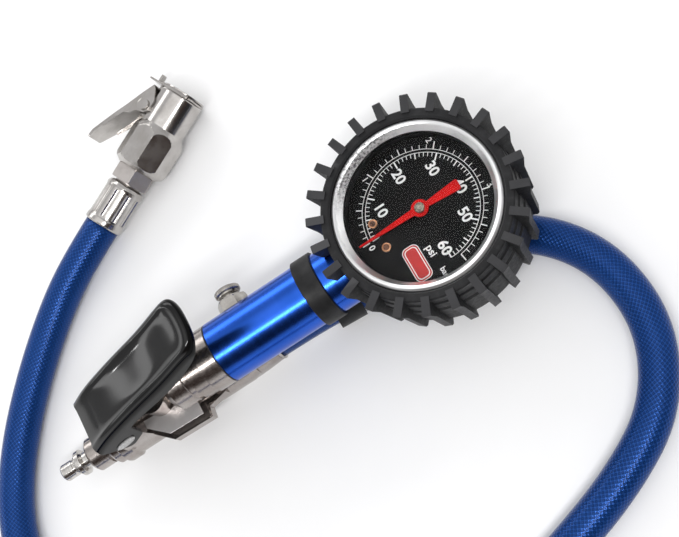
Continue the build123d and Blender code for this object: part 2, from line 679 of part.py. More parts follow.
def main():
    """Write every piece to its own STEP file."""
    os.makedirs("parts", exist_ok=True)
    pieces = [
        body_casting, body_sleeve, sleeve_seal, inlet_plug, inlet_filter, outlet_ferrule,
        lever_pin, trigger_lever, lever_badges, valve_plunger, poppet_washer, valve_seat,
        plunger_seal, valve_spring, valve_cap, bleed_housing, bleed_button, bleed_seal,
        bleed_spring, hose_clip, gauge_stem, gauge_case, gauge_bezel, gauge_lens, lens_gasket,
        gauge_dial, dial_screws, movement_frame, sector_gear, pinion, bourdon_tube, needle,
        needle_hub, rubber_boot, hose,
    ]
    for make in pieces:
        export_step(make(), f"parts/{make.__name__}.step")
    chuck_pieces = [
        chuck_ferrule, chuck_nut, chuck_body, chuck_seal, valve_depressor, chuck_pin,
        chuck_lever, grip_plate, chuck_cap, chuck_spring,
    ]
    for make in chuck_pieces:
        export_step(placed(make()), f"parts/{make.__name__}.step")


main()
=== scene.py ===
"""Looks of the hand tyre inflator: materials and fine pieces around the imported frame.

Sizes and places of the pieces, and the camera's place, are in millimetres and are scaled to
metres where they are used. Lights, the floor's size and the scales of noise are in metres.
"""

import math

import bpy
import numpy as np
from mathutils import Matrix, Vector


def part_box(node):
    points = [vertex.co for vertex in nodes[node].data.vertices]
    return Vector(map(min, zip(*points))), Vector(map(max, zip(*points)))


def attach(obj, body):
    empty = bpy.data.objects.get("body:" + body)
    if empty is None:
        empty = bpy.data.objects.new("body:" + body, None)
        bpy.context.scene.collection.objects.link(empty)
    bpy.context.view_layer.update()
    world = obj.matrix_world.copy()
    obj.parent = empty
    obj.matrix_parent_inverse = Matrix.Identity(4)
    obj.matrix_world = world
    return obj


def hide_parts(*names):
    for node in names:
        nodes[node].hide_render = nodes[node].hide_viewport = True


MM = 0.001

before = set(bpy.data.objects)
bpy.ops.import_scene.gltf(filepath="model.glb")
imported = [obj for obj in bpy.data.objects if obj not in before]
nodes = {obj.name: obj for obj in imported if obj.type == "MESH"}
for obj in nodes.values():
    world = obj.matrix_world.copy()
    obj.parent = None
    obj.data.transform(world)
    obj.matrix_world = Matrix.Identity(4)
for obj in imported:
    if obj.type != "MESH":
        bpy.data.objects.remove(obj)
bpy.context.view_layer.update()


def in_mm(length):
    """A length of the frame in millimetres, to a tenth."""
    return round(length / MM, 1)


bezel_low, bezel_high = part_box("gauge_bezel")
GAUGE_X = in_mm((bezel_low[0] + bezel_high[0]) / 2)  # the gauge's axis
DIAL_Z = in_mm(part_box("gauge_dial")[1][2])  # face of the dial
TABLE_Z = in_mm(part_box("hose")[0][2])  # what the tool lies on
HOSE_R = 8.0

WHITE_ROOM = (1.36, 1.36, 1.36)
PALE_WALL = (0.70, 0.70, 0.71)
GREY_WALL = (0.55, 0.55, 0.56)
BROWN_WALL = (0.055, 0.038, 0.032)

MIX_FIRST, MIX_SECOND, MIX_COLOUR = 6, 7, 2  # a Mix node's colour sockets


# --- materials -----------------------------------------------------------------
def new_material(name, **sockets):
    """A principled material and its tree; sockets are plain values for the shader."""
    mat = bpy.data.materials.new(name)
    mat.use_nodes = True
    shader = mat.node_tree.nodes["Principled BSDF"]
    for key, value in sockets.items():
        shader.inputs[key.replace("_", " ")].default_value = value
    return mat, mat.node_tree, shader


def add_node(tree, kind, **values):
    """A node of that kind, with its properties; inputs is a table of values for its sockets."""
    node = tree.nodes.new(kind)
    inputs = values.pop("inputs", {})
    for key, value in values.items():
        setattr(node, key, value)
    for key, value in inputs.items():
        node.inputs[key].default_value = value
    return node


def place(tree, stretch=(1, 1, 1)):
    """Object coordinates in metres, stretched."""
    where = add_node(tree, "ShaderNodeTexCoord")
    mapping = add_node(tree, "ShaderNodeMapping", inputs={"Scale": stretch})
    tree.links.new(where.outputs["Object"], mapping.inputs["Vector"])
    return mapping.outputs["Vector"]


def noise(tree, vector, scale, detail=3.0, rough=0.55):
    """Noise with that many features to a metre."""
    node = add_node(tree, "ShaderNodeTexNoise", inputs={
        "Scale": scale, "Detail": detail, "Roughness": rough})
    tree.links.new(vector, node.inputs["Vector"])
    return node.outputs["Fac"]


def spread(tree, fac, low, high, start=0.35, end=0.65):
    """fac, from start to end, spread over low to high."""
    node = add_node(tree, "ShaderNodeMapRange", inputs={
        "From Min": start, "From Max": end, "To Min": low, "To Max": high})
    tree.links.new(fac, node.inputs["Value"])
    return node.outputs["Result"]


def blend_colours(tree, fac, first, second):
    """Colour between two colours; each may be a value or a socket."""
    node = add_node(tree, "ShaderNodeMix", data_type="RGBA")
    for socket, value in ((node.inputs[MIX_FIRST], first), (node.inputs[MIX_SECOND], second)):
        if isinstance(value, tuple):
            socket.default_value = (*value, 1.0)
        else:
            tree.links.new(value, socket)
    tree.links.new(fac, node.inputs["Factor"])
    return node.outputs[MIX_COLOUR]


def bumps(tree, shader, layers):
    """Chain of bumps on the shader's normal, from (height socket, depth in mm) layers."""
    below = None
    for height, depth in layers:
        node = add_node(tree, "ShaderNodeBump", inputs={"Strength": 1.0, "Distance": depth * MM})
        tree.links.new(height, node.inputs["Height"])
        if below is not None:
            tree.links.new(below, node.inputs["Normal"])
        below = node.outputs["Normal"]
    tree.links.new(below, shader.inputs["Normal"])


def speckled(name, dark, light, rough, cloud, grain, depth, stretch=(1, 1, 1), **sockets):
    """Material whose colour and roughness drift in clouds, with a fine grain.

    rough is the roughness of its light and its dark clouds, cloud and grain are features to a
    metre, and depth is the grain's height in mm.
    """
    mat, tree, shader = new_material(name, **sockets)
    where = place(tree, stretch)
    drift = noise(tree, where, cloud, 4.0)
    fine = noise(tree, where, grain, 2.0)
    colour = blend_colours(tree, spread(tree, drift, 0, 1), dark, light)
    tree.links.new(colour, shader.inputs["Base Color"])
    tree.links.new(spread(tree, drift, rough[1], rough[0]), shader.inputs["Roughness"])
    bumps(tree, shader, [(fine, depth)])
    return mat


def plain_metals():
    """Plated, turned and drawn metals, by finish; speckled() says what the numbers are."""
    return {
        "steel": speckled(
            "turned_steel", (0.48, 0.46, 0.44), (0.66, 0.64, 0.61), (0.17, 0.27), 180, 1500, 0.008,
            stretch=(6, 1, 1), Metallic=1.0),
        "plate": speckled(
            "bright_plate", (0.33, 0.31, 0.29), (0.48, 0.46, 0.43), (0.14, 0.24), 160, 1200, 0.006,
            Metallic=1.0),
        "nut": speckled(
            "satin_nut", (0.36, 0.33, 0.315), (0.48, 0.45, 0.43), (0.36, 0.46), 120, 1000, 0.008,
            Metallic=0.85),
        "chuck": speckled(
            "satin_chrome", (0.40, 0.38, 0.36), (0.54, 0.52, 0.50), (0.15, 0.26), 120, 1000, 0.008,
            Metallic=1.0),
        # Painted light: a light grey, half-metallic finish for the finger rests' sunk panels, bright
        # whatever they reflect.
        "panel": speckled(
            "painted_light_panel", (0.52, 0.50, 0.495), (0.60, 0.58, 0.575), (0.24, 0.36), 140, 1300, 0.004,
            Metallic=0.45),
        "brass": speckled(
            "brass", (0.50, 0.30, 0.13), (0.74, 0.53, 0.26), (0.22, 0.36), 240, 1500, 0.012,
            Metallic=1.0),
        "copper": speckled(
            "warm_brass", (0.40, 0.17, 0.08), (0.70, 0.40, 0.24), (0.22, 0.36), 300, 1800, 0.012,
            Metallic=1.0),
        "spring": speckled(
            "drawn_wire", (0.32, 0.32, 0.33), (0.55, 0.55, 0.56), (0.25, 0.35), 300, 2200, 0.008,
            Metallic=1.0),
        "bronze": speckled(
            "sintered_bronze", (0.26, 0.17, 0.08), (0.52, 0.37, 0.20), (0.45, 0.6), 900, 2600, 0.08,
            Metallic=1.0),
        "recess": speckled(
            "dark_copper", (0.05, 0.022, 0.014), (0.20, 0.09, 0.055), (0.35, 0.5), 900, 3000, 0.01,
            Metallic=0.6),
        "hub": speckled(
            "hub_metal", (0.09, 0.08, 0.065), (0.50, 0.46, 0.38), (0.3, 0.45), 1100, 2600, 0.02,
            Metallic=0.9),
    }


def plain_blacks():
    """Black plastic, rubber and enamel, by finish."""
    return {
        "clip": speckled(
            "matte_black", (0.006, 0.006, 0.0065), (0.016, 0.016, 0.017), (0.4, 0.55), 150, 1400, 0.03,
            Specular_IOR_Level=0.25),
        "seal": speckled(
            "black_rubber", (0.010, 0.010, 0.010), (0.022, 0.022, 0.022), (0.5, 0.65), 200, 1200, 0.02),
        "enamel": speckled(
            "case_enamel", (0.012, 0.012, 0.012), (0.025, 0.025, 0.026), (0.3, 0.42), 120, 900, 0.02),
        "dial": speckled(
            "dial_black", (0.0035, 0.0035, 0.004), (0.007, 0.007, 0.0075), (0.5, 0.6), 70, 900, 0.002,
            Specular_IOR_Level=0.1),
    }


def plain_paints():
    """Print and paint, by finish."""
    return {
        "print": speckled(
            "white_print", (0.80, 0.80, 0.79), (0.90, 0.90, 0.89), (0.45, 0.55), 500, 3000, 0.004),
        "red_print": speckled(
            "red_print", (0.42, 0.012, 0.012), (0.55, 0.02, 0.018), (0.45, 0.55), 500, 3000, 0.004),
        "needle": speckled(
            "red_enamel", (0.50, 0.002, 0.002), (0.62, 0.004, 0.004), (0.35, 0.45), 200, 1800, 0.004,
            Specular_IOR_Level=0.15),
        "badge": speckled(
            "silver_enamel", (0.28, 0.28, 0.28), (0.55, 0.55, 0.54), (0.25, 0.38), 900, 2200, 0.01,
            Metallic=0.5),
    }


def boot_rubber():
    """Moulded rubber: dusty, with a fine pebbled skin and scuffed edges."""
    mat, tree, shader = new_material("moulded_rubber", Roughness=0.62, Specular_IOR_Level=0.22)
    where = place(tree)
    drift = noise(tree, where, 90, 5.0)
    dust = noise(tree, where, 700, 3.0)
    pebble = noise(tree, where, 1900, 2.0)
    base = blend_colours(tree, spread(tree, drift, 0, 1), (0.0085, 0.0085, 0.0095), (0.017, 0.017, 0.018))
    dusty = blend_colours(tree, spread(tree, dust, 0, 0.35, 0.55, 0.8), base, (0.045, 0.045, 0.048))
    shape = add_node(tree, "ShaderNodeNewGeometry")
    edge = spread(tree, shape.outputs["Pointiness"], 0, 0.6, 0.51, 0.58)
    scuffed = blend_colours(tree, edge, dusty, (0.085, 0.085, 0.09))
    tree.links.new(scuffed, shader.inputs["Base Color"])
    tree.links.new(spread(tree, dust, 0.48, 0.62), shader.inputs["Roughness"])
    bumps(tree, shader, [(drift, 0.08), (pebble, 0.06)])
    return mat


def sleeve_blue():
    """Blue anodised aluminium with fine turning lines round the barrel."""
    mat, tree, shader = new_material("blue_anodised", Metallic=1.0, Roughness=0.28)
    where = place(tree)
    lines = noise(tree, place(tree, (1, 0.02, 0.02)), 2600, 2.0)
    drift = noise(tree, where, 60, 3.0)
    tint = blend_colours(
        tree, spread(tree, drift, 0, 1), (0.020, 0.095, 0.50), (0.028, 0.115, 0.60))
    lined = blend_colours(tree, spread(tree, lines, 0, 0.10), tint, (0.05, 0.17, 0.74))
    tree.links.new(lined, shader.inputs["Base Color"])
    tree.links.new(spread(tree, lines, 0.21, 0.25), shader.inputs["Roughness"])
    bumps(tree, shader, [(lines, 0.0005)])
    return mat


def lever_black(name, gloss):
    """Black enamel with a slight orange peel and a little dust; gloss is its specular level."""
    mat, tree, shader = new_material(name, Roughness=0.12, IOR=1.45, Specular_IOR_Level=gloss)
    where = place(tree)
    peel = noise(tree, where, 420, 2.0)
    dust = noise(tree, where, 2400, 2.0)
    haze = noise(tree, where, 55, 4.0)
    dusty = spread(tree, dust, 0, 0.10, 0.62, 0.8)
    tint = blend_colours(tree, dusty, (0.004, 0.004, 0.004), (0.05, 0.05, 0.05))
    tree.links.new(tint, shader.inputs["Base Color"])
    tree.links.new(spread(tree, haze, 0.07, 0.13), shader.inputs["Roughness"])
    bumps(tree, shader, [(peel, 0.004)])
    return mat


WORN_PLACE = (GAUGE_X - 13.0, 30.5, 40.0)
WORN_FROM, WORN_TO = 9.0, 23.0  # the wear fades out between these distances from its place


def bezel_chrome():
    """Chrome ring, faintly clouded all over and scuffed round WORN_PLACE."""
    mat, tree, shader = new_material("scuffed_chrome", Metallic=1.0, Roughness=0.2)
    where = place(tree)
    cloud = noise(tree, where, 60, 3.0)
    scuff = noise(tree, where, 900, 4.0, 0.75)
    offset = add_node(tree, "ShaderNodeVectorMath", operation="DISTANCE")
    tree.links.new(where, offset.inputs[0])
    offset.inputs[1].default_value = tuple(c * MM for c in WORN_PLACE)
    near = spread(tree, offset.outputs["Value"], 1, 0, WORN_FROM * MM, WORN_TO * MM)
    worn = add_node(tree, "ShaderNodeMath", operation="MULTIPLY")
    tree.links.new(near, worn.inputs[0])
    tree.links.new(spread(tree, scuff, 0, 1, 0.44, 0.6), worn.inputs[1])
    tint = blend_colours(tree, spread(tree, cloud, 0, 1), (0.86, 0.86, 0.86), (0.94, 0.94, 0.94))
    dulled = blend_colours(tree, worn.outputs[0], tint, (0.16, 0.16, 0.165))
    tree.links.new(dulled, shader.inputs["Base Color"])
    tree.links.new(spread(tree, worn.outputs[0], 0.28, 0.5, 0.0, 1.0), shader.inputs["Roughness"])
    bumps(tree, shader, [(cloud, 0.01), (scuff, 0.006)])
    return mat


def cast_metal():
    """Nickel plate on a die casting: an orange peel skin with faint brown stains."""
    mat, tree, shader = new_material("cast_metal", Metallic=1.0, Roughness=0.24)
    where = place(tree)
    drift = noise(tree, where, 70, 3.0)
    stain = noise(tree, where, 900, 3.0, 0.65)
    peel = noise(tree, where, 700, 2.0)
    grain = noise(tree, where, 2400, 2.0)
    base = blend_colours(
        tree, spread(tree, drift, 0, 1), (0.31, 0.275, 0.255), (0.42, 0.39, 0.37))
    brown = blend_colours(
        tree, spread(tree, stain, 0, 0.16, 0.5, 0.72), base, (0.24, 0.17, 0.14))
    tree.links.new(brown, shader.inputs["Base Color"])
    tree.links.new(spread(tree, stain, 0.18, 0.27), shader.inputs["Roughness"])
    bumps(tree, shader, [(peel, 0.020), (grain, 0.006)])
    return mat


def clear_glass():
    """Thin clear lens with a faint smear."""
    mat, tree, shader = new_material(
        "clear_lens", Transmission_Weight=1.0, IOR=1.12, Roughness=0.0, Specular_IOR_Level=0.2)
    smear = noise(tree, place(tree), 90, 4.0)
    haze = blend_colours(tree, spread(tree, smear, 0, 1), (0.95, 0.97, 0.97), (0.99, 0.99, 0.99))
    tree.links.new(haze, shader.inputs["Base Color"])
    return mat


HOSE_UV = "along"
YARNS = 26  # yarns of each sense in a turn round the hose
YARN_PITCH = 2.1  # mm along the hose from one yarn to the next


def yarn_wave(tree, uv, sense):
    """Ridges of the yarns that wind round the hose in one sense, from -1 to 1."""
    around = add_node(tree, "ShaderNodeMath", operation="MULTIPLY")
    around.inputs[1].default_value = YARNS * sense * math.tau
    tree.links.new(uv["Y"], around.inputs[0])
    along = add_node(tree, "ShaderNodeMath", operation="MULTIPLY_ADD")
    along.inputs[1].default_value = math.tau / YARN_PITCH
    tree.links.new(uv["X"], along.inputs[0])
    tree.links.new(around.outputs[0], along.inputs[2])
    wave = add_node(tree, "ShaderNodeMath", operation="SINE")
    tree.links.new(along.outputs[0], wave.inputs[0])
    return wave.outputs[0]


def braided_hose():
    """Blue braid under a clear glossy skin; its UVs are mm along the hose and turns round it."""
    mat, tree, shader = new_material(
        "blue_braid", Metallic=0.42, Roughness=0.3, Specular_IOR_Level=0.12, Coat_Weight=0.06,
        Coat_Roughness=0.2)
    uv_map = add_node(tree, "ShaderNodeUVMap", uv_map=HOSE_UV)
    uv = add_node(tree, "ShaderNodeSeparateXYZ")
    tree.links.new(uv_map.outputs["UV"], uv.inputs["Vector"])
    top = add_node(tree, "ShaderNodeMath", operation="MAXIMUM")
    cross = add_node(tree, "ShaderNodeMath", operation="MULTIPLY")
    for k, sense in enumerate((1, -1)):
        wave = yarn_wave(tree, uv.outputs, sense)
        tree.links.new(wave, top.inputs[k])
        tree.links.new(wave, cross.inputs[k])
    where = place(tree)
    drift = noise(tree, where, 45, 3.0)
    fleck = noise(tree, where, 1600, 2.0)
    deep = blend_colours(
        tree, spread(tree, drift, 0, 1), (0.0010, 0.014, 0.08), (0.0020, 0.021, 0.11))
    ridge = spread(tree, top.outputs[0], 0, 1, -0.2, 0.95)
    yarn = blend_colours(tree, ridge, deep, (0.010, 0.056, 0.24))
    crossing = spread(tree, cross.outputs[0], 0, 0.5, 0.55, 1.0)
    spots = blend_colours(tree, crossing, yarn, (0.035, 0.14, 0.42))
    worn = blend_colours(
        tree, spread(tree, fleck, 0, 0.25, 0.55, 0.8), spots, (0.03, 0.11, 0.36))
    tree.links.new(worn, shader.inputs["Base Color"])
    tree.links.new(spread(tree, top.outputs[0], 0.36, 0.20, -0.5, 1.0), shader.inputs["Roughness"])
    bumps(tree, shader, [(top.outputs[0], 0.05), (cross.outputs[0], 0.03), (fleck, 0.008)])
    return mat


def pale_floor():
    """Plain pale floor."""
    return speckled(
        "pale_floor", (0.90, 0.90, 0.90), (0.93, 0.93, 0.93), (0.75, 0.85), 8, 300, 0.02)


FINISH = {
    **plain_metals(), **plain_blacks(), **plain_paints(),
    "casting": cast_metal(),
    "boot": boot_rubber(),
    "sleeve": sleeve_blue(),
    "lever": lever_black("gloss_black", 0.4),
    # The skirt's copy of the enamel has a much lower specular level: painted shade that hides the bright
    # reflections the skirt would catch.
    "skirt": lever_black("skirt_shaded_black", 0.07),
    "bezel": bezel_chrome(),
    "lens": clear_glass(),
    "hose": braided_hose(),
}


# --- carried-over CAD pieces ------------------------------------------------------
WELD_MM = 0.002
EDGE_ANGLE = math.radians(28)  # sharper edges are rounded
FLAT_WEIGHT = 80  # how much large faces hold the normals of rounded edges


def round_edges(piece, width, segments, angle):
    """Bevel a piece's edges that turn more than angle, by width mm."""
    edge = piece.modifiers.new("edges", "BEVEL")
    edge.width = width * MM
    edge.segments = segments
    edge.limit_method = "ANGLE"
    edge.angle_limit = angle
    return edge


def wear(node, finish, rounding):
    """Give a CAD node its finish, and round its edges by rounding mm."""
    piece = nodes[node]
    piece.data.materials.clear()
    piece.data.materials.append(FINISH[finish])
    if not rounding:
        return
    for extra in ("custom_normal", "sharp_edge", "sharp_face"):
        found = piece.data.attributes.get(extra)
        if found is not None:
            piece.data.attributes.remove(found)
    piece.data.polygons.foreach_set("use_smooth", [True] * len(piece.data.polygons))
    weld = piece.modifiers.new("weld", "WELD")
    weld.merge_threshold = WELD_MM * MM
    edge = round_edges(piece, rounding, 2, EDGE_ANGLE)
    edge.miter_outer = "MITER_ARC"
    normals = piece.modifiers.new("normals", "WEIGHTED_NORMAL")
    normals.mode = "FACE_AREA_WITH_ANGLE"
    normals.weight = FLAT_WEIGHT


CARRIED = {  # node: finish, and the rounding of its edges in mm
    "body_casting": ("casting", 0.4), "body_sleeve": ("sleeve", 0.0), "sleeve_seal": ("seal", 0.0),
    "inlet_plug": ("steel", 0.15), "inlet_filter": ("bronze", 0.1), "outlet_ferrule": ("plate", 0.15),
    "lever_pin": ("steel", 0.1), "lever_badges": ("badge", 0.12), "valve_plunger": ("steel", 0.15),
    "poppet_washer": ("seal", 0.05), "valve_seat": ("brass", 0.1), "plunger_seal": ("seal", 0.0),
    "valve_spring": ("spring", 0.0), "valve_cap": ("steel", 0.2), "bleed_housing": ("plate", 0.2),
    "bleed_button": ("plate", 0.06), "bleed_seal": ("seal", 0.1), "bleed_spring": ("spring", 0.0),
    "hose_clip": ("clip", 0.2), "gauge_stem": ("brass", 0.2), "gauge_case": ("enamel", 0.0),
    "gauge_bezel": ("bezel", 0.0), "gauge_lens": ("lens", 0.0), "lens_gasket": ("seal", 0.0),
    "gauge_dial": ("dial", 0.0), "dial_screws": ("copper", 0.08), "movement_frame": ("brass", 0.08),
    "sector_gear": ("brass", 0.06), "pinion": ("brass", 0.05), "bourdon_tube": ("copper", 0.0),
    "needle": ("needle", 0.1), "needle_hub": ("hub", 0.08), "rubber_boot": ("boot", 0.4),
    "chuck_ferrule": ("chuck", 0.2), "chuck_nut": ("nut", 0.2), "chuck_body": ("chuck", 0.8),
    "chuck_seal": ("seal", 0.1), "valve_depressor": ("steel", 0.05), "chuck_pin": ("chuck", 0.4),
    "chuck_lever": ("chuck", 0.2), "grip_plate": ("chuck", 0.1), "chuck_cap": ("chuck", 0.1),
    "chuck_spring": ("spring", 0.0),
}
for node_name, (finish_name, rounding) in CARRIED.items():
    wear(node_name, finish_name, rounding)


# --- new pieces --------------------------------------------------------------------
def piece_from(name, points, faces, finish, body, smooth=True):
    """A mesh from points in mm, with its finish, riding on a body."""
    mesh = bpy.data.meshes.new(name)
    mesh.from_pydata([tuple(c * MM for c in p) for p in points], [], faces)
    mesh.polygons.foreach_set("use_smooth", [smooth] * len(mesh.polygons))
    mesh.materials.append(FINISH[finish])
    piece = bpy.data.objects.new(name, mesh)
    bpy.context.scene.collection.objects.link(piece)
    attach(piece, body)
    return piece


# --- camera, light and floor ----------------------------------------------------------
CAMERA_AT = (231.58, -172.52, 483.07)
CAMERA_RIGHT = (0.82683, -0.46265, -0.31985)
CAMERA_UP = (0.53876, 0.8148, 0.21412)
CAMERA_BACK = (0.16155, -0.34936, 0.92295)

LIGHTS = [  # name, place, aim, size, power in watts
    ("far", (0.0, 1.15, 0.64), (0.1, 0.0, 0.0), (1.3, 0.42), 4.4),
    ("strip", (0.1, -0.54, 1.06), (0.1, 0.0, 0.0), (0.9, 0.10), 7.0),
    ("side", (-0.80, 0.33, 0.315), (0.05, 0.0, 0.04), (0.86, 0.12), 0.95),
    ("spark", (-0.85, 0.215, 0.39), (0.065, 0.005, 0.05), (0.03, 0.03), 0.12),
]
FLOOR_HALF = 3.0  # metres
FLOOR_GAP = 0.05  # mm between the floor and the lowest pieces


def set_camera():
    """Camera above the tool, a little to its near side."""
    data = bpy.data.cameras.new("camera")
    data.sensor_width = 36.0
    data.lens = 66.3
    data.clip_start = 0.01
    data.clip_end = 20.0
    camera = bpy.data.objects.new("camera", data)
    axes = Matrix((CAMERA_RIGHT, CAMERA_UP, CAMERA_BACK)).transposed()
    camera.matrix_world = Matrix.Translation(Vector(CAMERA_AT) * MM) @ axes.to_4x4()
    bpy.context.scene.collection.objects.link(camera)
    bpy.context.scene.camera = camera


def add_light(name, where, aim, size, power):
    """Rectangular soft light at a point in metres, aimed at another."""
    data = bpy.data.lights.new(name, "AREA")
    data.shape = "RECTANGLE"
    data.size, data.size_y = size
    data.energy = power
    light = bpy.data.objects.new(name, data)
    light.location = where
    light.rotation_mode = "QUATERNION"
    light.rotation_quaternion = (Vector(aim) - Vector(where)).to_track_quat("-Z", "Y")
    bpy.context.scene.collection.objects.link(light)


def set_world():
    """Pale studio, bright overhead, with a dark brown near side above a pale horizon."""
    world = bpy.data.worlds.new("room")
    world.use_nodes = True
    tree = world.node_tree
    where = add_node(tree, "ShaderNodeTexCoord")
    parts = add_node(tree, "ShaderNodeSeparateXYZ")
    tree.links.new(where.outputs["Generated"], parts.inputs["Vector"])
    overhead = spread(tree, parts.outputs["Z"], 0, 1, 0.84, 0.96)
    height = spread(tree, parts.outputs["Z"], 0, 1, 0.02, 0.30)
    off_horizon = spread(tree, parts.outputs["Z"], 0, 1, 0.10, 0.17)
    beyond = spread(tree, parts.outputs["Y"], 0, 1, -0.60, -0.44)
    wall = blend_colours(tree, height, GREY_WALL, PALE_WALL)
    far_side = blend_colours(tree, overhead, wall, WHITE_ROOM)
    near_side = blend_colours(tree, off_horizon, PALE_WALL, BROWN_WALL)
    sky = blend_colours(tree, beyond, near_side, far_side)
    tree.links.new(sky, tree.nodes["Background"].inputs["Color"])
    bpy.context.scene.world = world


def set_floor():
    """Large plain floor under the tool."""
    mesh = bpy.data.meshes.new("floor")
    z = (TABLE_Z - FLOOR_GAP) * MM
    corners = [(x * FLOOR_HALF, y * FLOOR_HALF, z) for x, y in ((-1, -1), (1, -1), (1, 1), (-1, 1))]
    mesh.from_pydata(corners, [], [(0, 1, 2, 3)])
    mesh.materials.append(pale_floor())
    floor = bpy.data.objects.new("floor", mesh)
    bpy.context.scene.collection.objects.link(floor)


# --- hose -------------------------------------------------------------------------------
LAID_Z = TABLE_Z + HOSE_R
CHUCK_Z = -5.6  # the chuck holds its end of the hose off the table
HOSE_POINTS = [
    (108.0, 0.0, -2.5),
    (122.0, 0.0, -2.5),
    (140.0, 0.0, -5.3),
    (158.0, -0.5, -8.7),
    (181.0, -2.0, LAID_Z),
    (206.0, -8.0, LAID_Z),
    (229.0, -24.5, LAID_Z),
    (242.0, -48.5, LAID_Z),
    (242.5, -79.0, LAID_Z),
    (227.0, -106.0, LAID_Z),
    (200.0, -122.0, LAID_Z),
    (166.0, -134.0, LAID_Z),
    (126.0, -146.0, LAID_Z),
    (80.0, -148.0, LAID_Z),
    (38.0, -137.0, LAID_Z),
    (2.0, -114.0, LAID_Z),
    (-25.0, -84.0, LAID_Z),
    (-39.0, -52.0, LAID_Z),
    (-42.0, -20.0, LAID_Z),
    (-36.0, 3.5, LAID_Z),
    (-22.0, 27.5, LAID_Z),
    (-2.0, 51.0, LAID_Z),
    (21.0, 72.5, LAID_Z),
    (42.0, 84.046, CHUCK_Z),
    (60.2, 93.2, CHUCK_Z),
]


def smooth_line(points, resolution):
    """Points, in metres, along the NURBS spline that the given points in mm control."""
    data = bpy.data.curves.new("route", "CURVE")
    data.dimensions = "3D"
    data.resolution_u = resolution
    spline = data.splines.new("NURBS")
    spline.points.add(len(points) - 1)
    for control, point in zip(spline.points, points):
        control.co = (*(c * MM for c in point), 1.0)
    spline.order_u = 3
    spline.use_endpoint_u = True
    holder = bpy.data.objects.new("route", data)
    bpy.context.scene.collection.objects.link(holder)
    bpy.context.view_layer.update()
    mesh = bpy.data.meshes.new_from_object(holder)
    line = [v.co.copy() for v in mesh.vertices]
    bpy.data.objects.remove(holder)
    bpy.data.meshes.remove(mesh)
    return line


def hose_rings(line, radius, around):
    """Points in mm of the rings round a line in metres, and how far along it each ring is."""
    count = len(line)
    points, lengths, travelled = [], [], 0.0
    side = None
    for i, centre in enumerate(line):
        tangent = (line[min(i + 1, count - 1)] - line[max(i - 1, 0)]).normalized()
        if side is None:
            side = Vector((0, 0, 1)).cross(tangent).normalized()
        else:
            travelled += (centre - line[i - 1]).length / MM
        side = (side - tangent * side.dot(tangent)).normalized()
        over = tangent.cross(side)
        lengths.append(travelled)
        for k in range(around):
            angle = math.tau * k / around
            out = side * math.cos(angle) + over * math.sin(angle)
            points.append((centre + out * radius * MM) / MM)
    return points, lengths


def tube_along(name, line, radius, around, finish, body):
    """Closed tube along a line, with UVs in mm along and turns around."""
    points, lengths = hose_rings(line, radius, around)
    faces, corners = [], []
    for i in range(len(line) - 1):
        here, there = i * around, (i + 1) * around
        for k in range(around):
            after = (k + 1) % around
            faces.append((here + k, here + after, there + after, there + k))
            corners += [
                (lengths[i], k / around), (lengths[i], (k + 1) / around),
                (lengths[i + 1], (k + 1) / around), (lengths[i + 1], k / around),
            ]
    first = list(range(around))
    last = list(range(len(points) - around, len(points)))
    faces += [tuple(reversed(first)), tuple(last)]
    corners += [(0.0, 0.0)] * (2 * around)
    piece = piece_from(name, points, faces, finish, body)
    layer = piece.data.uv_layers.new(name=HOSE_UV)
    layer.data.foreach_set("uv", [c for corner in corners for c in corner])
    return piece


def make_hose():
    """The braided hose, a tube along a line that ends in the chuck, in place of the frame's hose."""
    line = smooth_line(HOSE_POINTS, 14)
    hose = tube_along("hose_braid", line, HOSE_R, 64, "hose", "tool")
    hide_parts("hose")


# --- dial print -------------------------------------------------------------------------
PRINT_Z = DIAL_Z + 0.05
PRINT_X, PRINT_Y = GAUGE_X + 0.4, -0.3  # the scales sit a little off the gauge's axis
DEGREES_PER_PSI = 4.5
PSI_FULL, BAR_FULL = 60, 4
PSI_PER_BAR = 14.504
PSI_R, BAR_R = 22.9, 24.2  # arcs that the psi and the bar marks stand on
ARC_WIDTH = 0.24

# Every 10th, every 5th and every other mark: length and width.
PSI_MARKS = ((3.1, 0.6), (2.4, 0.5), (1.7, 0.3))
BAR_MARKS = ((3.2, 0.5), (2.6, 0.42), (1.8, 0.28))

PSI_NUMERALS = {
    10: (-13.7, 8.7), 20: (-1.0, 16.3), 30: (11.8, 11.5), 40: (17.2, -0.8), 50: (13.2, -11.7),
    60: (0.0, -18.5),
}
BAR_NUMERALS = {1: (-12.8, 23.2), 2: (16.5, 22.2), 3: (27.3, -7.0)}

BADGE = (-11.9, -17.8)
BADGE_LAYERS = (  # half sizes, corner radius and finish, from the lowest layer up
    ("badge_edge", 3.6, 7.6, 2.4, "print"),
    ("badge_band", 3.3, 7.3, 2.2, "red_print"),
    ("badge_line", 2.75, 6.75, 1.8, "print"),
    ("badge_field", 2.35, 6.35, 1.5, "red_print"),
)
LAYER_STEP = 0.02

SCREW_X, SCREW_Y = -18.98, 5.62
SCREW_RECESS_R = 1.25
SCREW_RECESS_CORNER = 1.24  # so nearly a circle
SCREW_RECESS_Z = DIAL_Z + 0.61


def dial_angle(psi):
    """Angle of a reading on the dial, anticlockwise from +X."""
    return math.radians(180.0 - DEGREES_PER_PSI * psi)


def dial_point(radius, angle, aside=0.0):
    """Point on the dial at a radius and angle, moved aside across the radius."""
    return (
        PRINT_X + radius * math.cos(angle) - aside * math.sin(angle),
        PRINT_Y + radius * math.sin(angle) + aside * math.cos(angle),
        PRINT_Z,
    )


